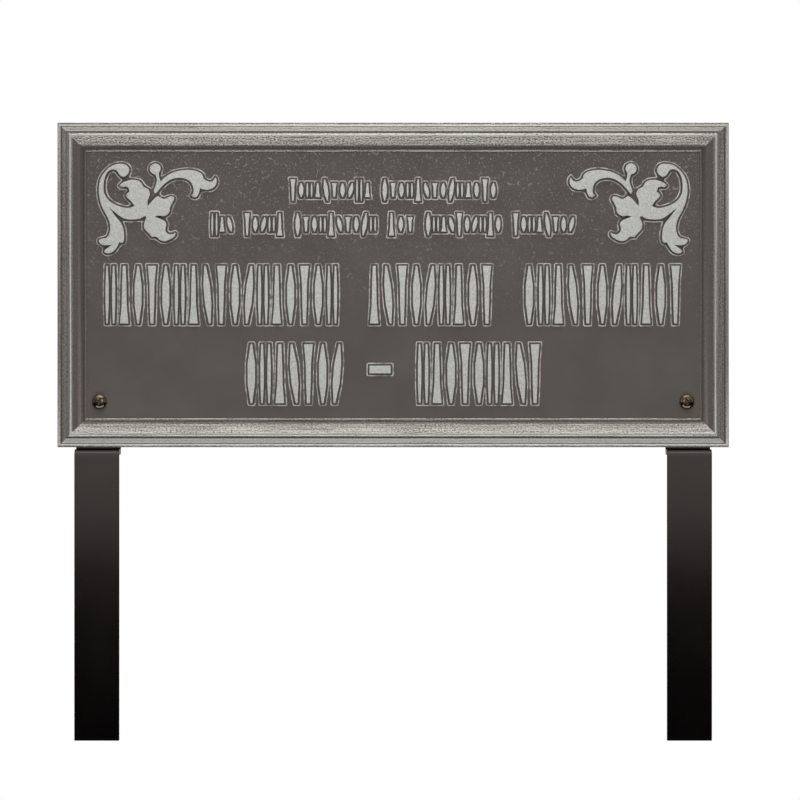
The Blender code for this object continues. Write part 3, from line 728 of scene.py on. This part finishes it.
SPRIG_RUNS = (
    # Stem and ball
    ((78.5, 51), (76.5, 46), (78.6, 40), (79.8, 34), (78.3, 28.4)),
    ((78.3, 28.4), (73.6, 26), (71.8, 21.5), (73.8, 17), (78.6, 15), (83.4, 17), (85.3, 21.5),
     (83, 26.5)),
    ((83, 26.5), (83.4, 30.5), (84.8, 34.8)),
    # Long leaf
    ((84.8, 34.8), (90, 30), (98, 25.3), (108, 22.8), (118, 22.4), (127, 24.3), (132, 28), (133, 32)),
    ((133, 32), (137, 34.7), (141, 35.6), (144, 33.5), (146, 30)),
    ((146, 30), (148, 34), (147, 40), (142, 44.3), (135.5, 45.4), (129, 44)),
    ((129, 44), (128.3, 48), (126, 52.8), (121.5, 54), (118, 51.4)),
    ((118, 51.4), (120.7, 49), (121, 44), (119, 38), (114, 33.8), (106, 32), (98, 33.3), (90, 38),
     (84.3, 44), (78.5, 51)),
)
# The pedestal's outline, about 1.45 mm outside the leaves, with the notches run together, and the
# opening inside the scroll
PEDESTAL_RIM = (
    (77.9, 12.3), (80.5, 12.5), (83.2, 13.5), (85.3, 15), (86.9, 17.1), (88, 21), (86.3, 26.9),
    (86.8, 28.2), (95.2, 23.4), (101.1, 21.3), (111.8, 19.5), (120, 19.7), (126.5, 21.1), (130.8, 23.2),
    (134.2, 26.3), (136.2, 30.5), (138.9, 32.3), (141.2, 31.9), (144.7, 27.8), (147.4, 27.8),
    (150.1, 31.6), (150.8, 36.4), (149.3, 41.4), (145.4, 45.4), (140.4, 47.7), (131.9, 48.2),
    (128, 54.6), (125.8, 56), (123, 56.7), (119.1, 55.8), (115.8, 52.8), (115.4, 50.8), (117.8, 47.2),
    (118, 43.9), (116.6, 39.8), (113.3, 36.7), (108.4, 35.1), (102.7, 35), (97.7, 36.5), (92.3, 39.8),
    (87.4, 44.7), (85, 47.6), (84.5, 49.1), (85.8, 50.6), (88.4, 51.6), (94.5, 49.5), (98.2, 49.4),
    (100.8, 50.7), (102.6, 53), (102.8, 57), (98.8, 64.8), (97.3, 71.7), (95.6, 74.2), (92.3, 76.5),
    (91.8, 77.5), (94.3, 83), (93.4, 88.8), (93.8, 90.5), (95.9, 91.6), (100.2, 90), (102.3, 90.3),
    (104.4, 93.1), (104.3, 96.7), (102.5, 99.5), (98.7, 102.5), (93.7, 105), (89.4, 105.9),
    (83.6, 104.9), (78, 101.3), (73.3, 101), (70.8, 98.8), (63.6, 90.4), (62.6, 87.2), (62.6, 82),
    (62.1, 81), (52.6, 81.7), (44.4, 81.2), (43.9, 82.3), (46.1, 88.8), (46.9, 96.8), (46.5, 102.1),
    (45.3, 105.5), (43.7, 107.1), (40, 108.6), (34.9, 115.5), (31, 118.3), (27.5, 119.4), (24.5, 119.6),
    (21.6, 118.9), (19.1, 117.3), (17.8, 114.8), (18.4, 110.5), (13.4, 106.7), (12.1, 104.1),
    (11.8, 101.5), (12.5, 99.8), (14.1, 98.3), (21.1, 96.1), (22.5, 95.1), (24.1, 91.4), (24.5, 86.1),
    (22.5, 78.6), (17.2, 68.6), (13.9, 60.4), (11.9, 50.2), (11.7, 42.8), (12.6, 36), (14.1, 31.1),
    (16.7, 26.2), (20.7, 21.2), (25, 17.3), (29.1, 14.8), (34, 13.2), (40, 12.4), (43.4, 12.8),
    (46.9, 14), (49.3, 15.7), (51.1, 18), (52.4, 20.7), (52.7, 23.2), (52.2, 25.8), (50.5, 29.3),
    (50.8, 30.2), (57.3, 30.9), (61.5, 32.2), (64.8, 34.7), (68.1, 39.1), (73.9, 42.3), (75.1, 40.9),
    (76.3, 37.4), (76.5, 32.6), (75.6, 30.7), (72, 28.2), (70.3, 26.1), (69.2, 23.4), (69.1, 20.4),
    (70.1, 17.3), (71.9, 14.9), (74.6, 13.1),
)
PEDESTAL_OPENING = (
    (31, 25.6), (32.9, 26.3), (36.2, 30.8), (39.6, 33.6), (39.4, 34.5), (35.8, 38.2), (35.2, 39.9),
    (35.4, 41.7), (36.7, 43.5), (38.8, 44.9), (44.7, 45.3), (44.7, 46.3), (42.7, 49.7), (42.7, 52.6),
    (44.3, 55.9), (48.7, 60.1), (49, 61.2), (46.4, 62), (42.3, 61.3), (34.8, 58.6), (29.2, 54.9),
    (25.6, 50.1), (24, 43.6), (24.6, 34.5), (27.1, 28), (29, 26.2),
)
CURVE_STEPS = 3


def smooth_run(points, closed=False):
    """A smooth curve through points, without its last one."""
    knots = [Vector(point) for point in points]
    if closed:
        reach = knots[-1:] + knots + knots[:2]
    else:
        reach = knots[:1] + knots + knots[-1:]
    curve = []
    for before, start, stop, after in zip(reach, reach[1:], reach[2:], reach[3:]):
        curve += interpolate_bezier(start, start + (stop - before) / 6, stop - (after - start) / 6,
                                    stop, CURVE_STEPS + 1)[:-1]
    return [(point.x, point.y) for point in curve]


def smooth_outline(runs):
    """One closed outline from runs that meet in corners."""
    return [point for run_points in runs for point in smooth_run(run_points)]


print(len(LEAF_RUNS) + len(SPRIG_RUNS), "runs draw a corner's leaves")

# %% Raise the leaf scrolls
FLOURISH_HEIGHT = 51.5 * MM
FLOURISH_FROM_SIDE = 23.1 * MM
FLOURISH_FROM_TOP = 22.9 * MM
FLOURISH_LEFT = -PLAQUE_WIDTH / 2 + FLOURISH_FROM_SIDE
FLOURISH_TOP = PLAQUE_TOP_Z - FLOURISH_FROM_TOP

leaf, sprig = smooth_outline(LEAF_RUNS), smooth_outline(SPRIG_RUNS)
grid_left = min(x for x, y in leaf + sprig)
grid_top = min(y for x, y in leaf + sprig)
grid_unit = FLOURISH_HEIGHT / (max(y for x, y in leaf + sprig) - grid_top)


def on_corner(outline, side):
    """Grid points as (x, z) in metres, in the left corner or mirrored into the right one."""
    return [(side * (FLOURISH_LEFT + (x - grid_left) * grid_unit),
             FLOURISH_TOP - (y - grid_top) * grid_unit) for x, y in outline]


for side in (1, -1):
    foot = [on_corner(smooth_run(loop, closed=True), side) for loop in (PEDESTAL_RIM, PEDESTAL_OPENING)]
    raise_mark(pedestals, flat_region(pedestals, foot), pedestal_edges, EDGE_LINE, EDGE_LINE, GROUND,
               PEDESTAL_BURIED)
    for outline in (leaf, sprig):
        placed = on_corner(outline, side)
        # The leaves' sides get the darker rear finish too, as painted shade at their feet
        raise_mark(bodies, flat_region(bodies, [placed]), body_edges, REAR_AND_PAINTED_SHADE, FACES, FACES)
print("grid unit", round(grid_unit / MM, 3), "mm")

# %% Join the raised work, the bosses and the screw holes
join(plaque, finish_mesh("pedestals", pedestals, casting_finishes), "UNION", use_self=True)
print("with pedestals:", triangles(plaque))
join(plaque, finish_mesh("raised_marks", bodies, casting_finishes), "UNION", use_self=True)
print("with marks:", triangles(plaque))


def round_bar(bm, radius, y_front, y_back, x, z, segments=ROUND_STEPS):
    """A cylinder that runs along Y between two planes."""
    place = Matrix.Translation((x, (y_front + y_back) / 2, z)) @ Matrix.Rotation(math.pi / 2, 4, "X")
    bmesh.ops.create_cone(bm, cap_ends=True, segments=segments, radius1=radius, radius2=radius,
                          depth=y_back - y_front, matrix=place)


PLAQUE_CREASE = 32
bosses, holes = bmesh.new(), bmesh.new()
for side in (-1, 1):
    round_bar(bosses, BOSS_DIAMETER / 2, GROUND_Y + PLATE_THICKNESS / 2, BACK_Y, side * SCREW_X, SCREW_Z)
    round_bar(holes, HOLE_DIAMETER / 2, CREST_Y, BACK_Y + PLATE_THICKNESS, side * SCREW_X, SCREW_Z)
for face in bosses.faces:
    face.material_index = REAR_AND_PAINTED_SHADE
for face in holes.faces:
    face.material_index = REAR_AND_PAINTED_SHADE
join(plaque, finish_mesh("bosses", bosses, casting_finishes), "UNION")
join(plaque, finish_mesh("holes", holes, casting_finishes), "DIFFERENCE")
soften(plaque, PLAQUE_CREASE)
place_piece(plaque, "plaque_casting", "plaque")

# %% [markdown]
# ## Black enamel stakes
#
# Each stake is one length of flat bar, bent twice cold. The bar's long edges come slightly rounded
# from the rolling mill and the gloss enamel rounds them a little more. To the eye it is a long soft
# fade from grey to black, with a faint orange peel. A section drawn once and extruded across the bar's
# width makes the bends exact, and one bevel rounds all its long edges.

# %% Gloss black enamel
PEEL_SIZE = 3 * MM
WEAR_SIZE = 30 * MM

black, tree, shader = new_finish("gloss black enamel on steel")
place = add_node(tree, "TexCoord").outputs["Object"]
peel = add_node(tree, "TexNoise", [("Vector", place), ("Scale", 1 / PEEL_SIZE), ("Detail", 2)])
wear = add_node(tree, "TexNoise", [("Vector", place), ("Scale", 1 / WEAR_SIZE), ("Detail", 4)])
rough = add_node(tree, "MapRange", [("Value", wear.outputs["Fac"]), ("To Min", 0.09), ("To Max", 0.14)])
tree.links.new(rough.outputs[0], shader.inputs["Roughness"])
bump = add_node(tree, "Bump", [("Height", peel.outputs["Fac"]), ("Strength", 0.1),
                               ("Distance", 0.02 * MM)])
tree.links.new(bump.outputs["Normal"], shader.inputs["Normal"])
shader.inputs["Base Color"].default_value = linear("#040303")
shader.inputs["Specular Tint"].default_value = linear("#fff0e9")
print(black.name, "with orange peel of", PEEL_SIZE / MM, "mm")

# %% Bend the bars
ARC_STEPS = 8
LONG_EDGE_ROUND = 0.35 * MM
SHARP_EDGE = math.radians(40)       # the steps round a bend turn by less than this


def bend(centre, radius, start, stop):
    """Points of a bend as (y, z), from one angle to another in degrees."""
    turns = [math.radians(start + (stop - start) * step / ARC_STEPS) for step in range(ARC_STEPS + 1)]
    return [(centre[0] + radius * math.cos(turn), centre[1] + radius * math.sin(turn)) for turn in turns]


inner, outer = BEND_INNER_RADIUS, BEND_INNER_RADIUS + BAR_THICKNESS
lower = (LEG_FRONT_Y + BAR_THICKNESS + inner, STAKE_HEIGHT - BAR_THICKNESS - inner)
upper = (TAB_FRONT_Y - inner, STAKE_HEIGHT + inner)
tab_top = SCREW_Z + TAB_ABOVE_SCREW
bar_section = ([(LEG_FRONT_Y, 0)] + bend(lower, outer, 180, 90) + bend(upper, inner, 270, 360)
               + [(TAB_FRONT_Y, tab_top), (TAB_BACK_Y, tab_top)] + bend(upper, outer, 360, 270)
               + bend(lower, inner, 90, 180) + [(LEG_FRONT_Y + BAR_THICKNESS, 0)])
for name, side in (("left", -1), ("right", 1)):
    bar = bmesh.new()
    left_edge = side * STAKE_X - BAR_WIDTH / 2
    flat = bar.faces.new([bar.verts.new((left_edge, y, z)) for y, z in bar_section])
    grown = bmesh.ops.extrude_face_region(bar, geom=[flat], use_keep_orig=True)
    moved = [item for item in grown["geom"] if isinstance(item, bmesh.types.BMVert)]
    bmesh.ops.translate(bar, vec=(BAR_WIDTH, 0, 0), verts=moved)
    bmesh.ops.recalc_face_normals(bar, faces=bar.faces)
    long_edges = [edge for edge in bar.edges if edge.calc_face_angle(0) > SHARP_EDGE]
    bmesh.ops.bevel(bar, geom=long_edges, offset=LONG_EDGE_ROUND, offset_type="OFFSET", segments=3,
                    profile=0.5, affect="EDGES", material=-1, clamp_overlap=True)
    stake = finish_mesh("stake_bar_" + name, bar, [black])
    drill = bmesh.new()
    round_bar(drill, HOLE_DIAMETER / 2, BACK_Y, TAB_BACK_Y + BAR_THICKNESS, side * SCREW_X, SCREW_Z)
    join(stake, finish_mesh("drill", drill, [black]), "DIFFERENCE")
    soften(stake, CREASE)
    place_piece(stake, "stake_paint", "stake_" + name)

# %% [markdown]
# ## Screws and nuts
#
# A pan head machine screw is turned, so its section is spun about its axis, and the cross recess is
# cut by a tapering punch. Its plating is a bronze brown that mirrors the room in dark and light
# patches. A nut is cut from hexagon bar and turned at both ends, which leaves its chamfers, so it is
# what a six-sided bar and a chamfered round one have in common. Its zinc is a dull, even grey.

# %% Bronze tinted steel and zinc
def plated(name, dark, light, stain_size, roughness):
    """A plated metal whose colour drifts between two tones over stains of a given size."""
    finish, tree, shader = new_finish(name)
    place = add_node(tree, "TexCoord").outputs["Object"]
    stain = add_node(tree, "TexNoise", [("Vector", place), ("Scale", 1 / stain_size), ("Detail", 3)])
    colour = add_node(tree, "ValToRGB", [("Fac", stain.outputs["Fac"])],
                      [(0.35, linear(dark)), (0.65, linear(light))])
    tree.links.new(colour.outputs["Color"], shader.inputs["Base Color"])
    shader.inputs["Metallic"].default_value = 1.0
    shader.inputs["Roughness"].default_value = roughness
    print(name, "with stains of", stain_size / MM, "mm")
    return finish


bronze = plated("bronze tinted steel", "#5d4f40", "#8b7861", 2.5 * MM, 0.18)
zinc = plated("zinc plated steel", "#9b9c9a", "#b9bab7", 2 * MM, 0.4)

# %% How a screw is turned and its recess punched
# Shares of the head's radius and height, from the middle of its top to its seat
HEAD_SECTION = ((0, 1), (0.25, 0.995), (0.5, 0.96), (0.68, 0.90), (0.82, 0.80), (0.92, 0.68),
                (0.98, 0.55), (1, 0.42), (1, 0.06), (0.97, 0))
RECESS_SPAN, RECESS_SLOT, RECESS_DEPTH, RECESS_DRAFT = 5.2 * MM, 1.5 * MM, 1.9 * MM, 0.35 * MM
RECESS_TURN = 20                    # degrees, mirrored from one screw to the other
END_CHAMFER = 0.6 * MM
RECESS_PAINTED_SHADE = 1                    # the screw's second finish: black enamel as painted shade in the recess
seat_y = GROUND_Y - TOUCH_GAP
end_y = TAB_BACK_Y + TOUCH_GAP + NUT_HEIGHT + SCREW_PAST_NUT


def make_screw(name, side):
    """Spin a screw's section about its axis and punch the recess into its head."""
    turned = bmesh.new()
    shank = SCREW_DIAMETER / 2
    profile = [(HEAD_DIAMETER / 2 * out, seat_y - HEAD_HEIGHT * up) for out, up in HEAD_SECTION]
    profile += [(shank, seat_y), (shank, end_y - END_CHAMFER), (shank - END_CHAMFER, end_y), (0, end_y)]
    points = [turned.verts.new((radius, y, 0)) for radius, y in profile]
    edges = [turned.edges.new(pair) for pair in zip(points, points[1:])]
    bmesh.ops.spin(turned, geom=points + edges, cent=(0, 0, 0), axis=(0, 1, 0), angle=math.tau,
                   steps=ROUND_STEPS, use_merge=True)
    bmesh.ops.remove_doubles(turned, verts=turned.verts, dist=1e-6)
    bmesh.ops.translate(turned, vec=(side * SCREW_X, 0, SCREW_Z), verts=turned.verts)
    screw = finish_mesh("pan_head_screw_" + name, turned, [bronze, black])
    punch = bmesh.new()
    long, narrow = RECESS_SPAN / 2, RECESS_SLOT / 2
    top_y = seat_y - HEAD_HEIGHT
    cross = []
    for quarter_turn in range(4):
        spun = Matrix.Rotation(quarter_turn * math.pi / 2 + math.radians(RECESS_TURN * side), 2)
        cross += [spun @ Vector(p) for p in ((long, -narrow), (long, narrow), (narrow, narrow))]
    mouth = punch.faces.new([punch.verts.new((side * SCREW_X + p.x, top_y - TOUCH_GAP, SCREW_Z + p.y))
                             for p in cross])
    mouth.normal_update()
    if mouth.normal.y < 0:
        mouth.normal_flip()
    grown = bmesh.ops.extrude_face_region(punch, geom=[mouth], use_keep_orig=True)
    bottom = [item for item in grown["geom"] if isinstance(item, bmesh.types.BMFace)][0]
    sunk = [item for item in grown["geom"] if isinstance(item, bmesh.types.BMVert)]
    bmesh.ops.translate(punch, vec=(0, TOUCH_GAP, 0), verts=sunk)
    inset(punch, [bottom], [(RECESS_DRAFT, -RECESS_DEPTH)])
    # The recess's faces get the black finish, painted shade in the cross
    for face in punch.faces:
        face.material_index = RECESS_PAINTED_SHADE
    join(screw, finish_mesh("punch", punch, [bronze, black]), "DIFFERENCE")
    soften(screw, CREASE)
    place_piece(screw, "screw_steel", "screw_" + name)

# %% How a nut is cut, and one screw and nut for each side
nut_radius = NUT_ACROSS_FLATS / math.sqrt(3)
front_y = TAB_BACK_Y + TOUCH_GAP


def make_nut(name, side):
    """What a hexagon bar and a chamfered round one share, with a bore through it."""
    block = bmesh.new()
    round_bar(block, nut_radius, front_y, front_y + NUT_HEIGHT, side * SCREW_X, SCREW_Z, segments=6)
    nut = finish_mesh("hexagon_nut_" + name, block, [zinc])
    turned = bmesh.new()
    round_bar(turned, nut_radius, front_y + NUT_CHAMFER[1], front_y + NUT_HEIGHT - NUT_CHAMFER[1],
              side * SCREW_X, SCREW_Z)
    for end in [face for face in turned.faces if len(face.verts) == ROUND_STEPS]:
        inset(turned, [end], [(NUT_CHAMFER[0], -NUT_CHAMFER[1])])
    join(nut, finish_mesh("chamfers", turned, [zinc]), "INTERSECT")
    bore = bmesh.new()
    round_bar(bore, SCREW_DIAMETER / 2 + TOUCH_GAP, front_y - NUT_HEIGHT, front_y + 2 * NUT_HEIGHT,
              side * SCREW_X, SCREW_Z)
    join(nut, finish_mesh("bore", bore, [zinc]), "DIFFERENCE")
    soften(nut, CREASE)
    place_piece(nut, "nut_steel", "nut_" + name)


for name, side in (("left", -1), ("right", 1)):
    make_screw(name, side)
    make_nut(name, side)

# %% [markdown]
# ## Floor, light and camera
#
# The photograph is a studio picture on pure white. The floor glows white, and only the camera sees it.
# The world is white to the camera too, and to everything else a dim white above the horizon. Soft
# boxes light the plaque. The tall one in front is what its flat faces mirror, and it stops just above
# the floor, so the stakes' lower ends stay dark. Those above and overhead reach the border's upper
# slopes and the bends, a stronger one from below the floor its lower slopes, and one behind is for the
# back. None stands at the sides, because the real border is bright along the top and bottom and dark
# along its sides. The camera looks straight on, and its lens follows from what the picture spans.

# %% White floor and world
FLOOR_RADIUS = 8.0          # in metres
FLOOR_DROP = 0.5 * MM
SKY_STRENGTH = 0.38
HORIZON_FADE = 0.04         # how far below the horizon the sky fades out

white, tree, shader = new_finish("white floor")
shader.inputs["Base Color"].default_value = (0, 0, 0, 1)
shader.inputs["Specular IOR Level"].default_value = 0
shader.inputs["Emission Color"].default_value = (1, 1, 1, 1)
shader.inputs["Emission Strength"].default_value = 1.0
ground = bmesh.new()
bmesh.ops.create_circle(ground, cap_ends=True, segments=64, radius=FLOOR_RADIUS)
bmesh.ops.translate(ground, vec=(0, 0, -FLOOR_DROP), verts=ground.verts)
floor = finish_mesh("white_floor", ground, [white])
for sight in ("visible_glossy", "visible_diffuse", "visible_transmission", "visible_shadow"):
    setattr(floor, sight, False)

world = bpy.data.worlds.new("studio")
world.use_nodes = True
bpy.context.scene.world = world
tree = world.node_tree
fill = tree.nodes["Background"]
fill.inputs["Color"].default_value = (1, 1, 1, 1)
direct = add_node(tree, "LightPath").outputs["Is Camera Ray"]
sky = add_node(tree, "SeparateXYZ", [("Vector", add_node(tree, "TexCoord").outputs["Generated"])])
dim = add_node(tree, "MapRange", [("Value", sky.outputs["Z"]), ("From Min", -HORIZON_FADE),
                                  ("From Max", 0.0), ("To Min", 0.0), ("To Max", SKY_STRENGTH)])
strength = add_node(tree, "Mix", [("Factor", direct), ("A", dim.outputs[0]), ("B", 1.0)])
tree.links.new(strength.outputs[0], fill.inputs["Strength"])
bpy.context.scene.view_settings.view_transform = "Standard"
print("floor", 2 * FLOOR_RADIUS, "m across,", FLOOR_DROP / MM, "mm below the stakes")


# %% Soft boxes
def soft_box(name, place, aim, width, height, brightness):
    """A rectangular light that faces a point. Its brightness is what a mirror of it would show."""
    light = bpy.data.lights.new(name, "AREA")
    light.shape = "RECTANGLE"
    light.size, light.size_y = width, height
    light.energy = brightness * math.pi * width * height
    box = bpy.data.objects.new(name, light)
    box.location = place
    box.rotation_euler = (Vector(aim) - Vector(place)).to_track_quat("-Z", "Y").to_euler()
    box.visible_camera = False
    bpy.context.scene.collection.objects.link(box)
    print("soft box", name, width, "by", height, "m, brightness", brightness)


heart = (0, 0, 0.25)
soft_box("front", (0, -3.0, 1.31), (0, 0, 1.31), 1.3, 2.58, 1.15)
soft_box("above", (0, -1.4, 2.2), heart, 2.4, 1.2, 1.75)
soft_box("overhead", (0, -0.65, 2.6), (0, -0.65, 0), 2.4, 1.3, 1.5)
soft_box("below", (0, -1.5, -1.2), heart, 2.4, 1.0, 2.3)
soft_box("behind", (0, 2.2, 1.6), heart, 2.6, 2.0, 2.6)

# %% Camera
VIEW_WIDTH = 453.6 * MM                     # what the picture spans at the origin
VIEW_MIDDLE = (3.9 * MM, 193.1 * MM)        # the point in x and z that the camera faces
CAMERA_DISTANCE = 2.4

lens = bpy.data.cameras.new("studio camera")
lens.sensor_width = 36
lens.lens = lens.sensor_width * CAMERA_DISTANCE / VIEW_WIDTH
camera = bpy.data.objects.new("studio camera", lens)
camera.location = (VIEW_MIDDLE[0], -CAMERA_DISTANCE, VIEW_MIDDLE[1])
camera.rotation_euler = (math.pi / 2, 0, 0)
bpy.context.scene.collection.objects.link(camera)
bpy.context.scene.camera = camera
print("lens", round(lens.lens, 1), "mm")
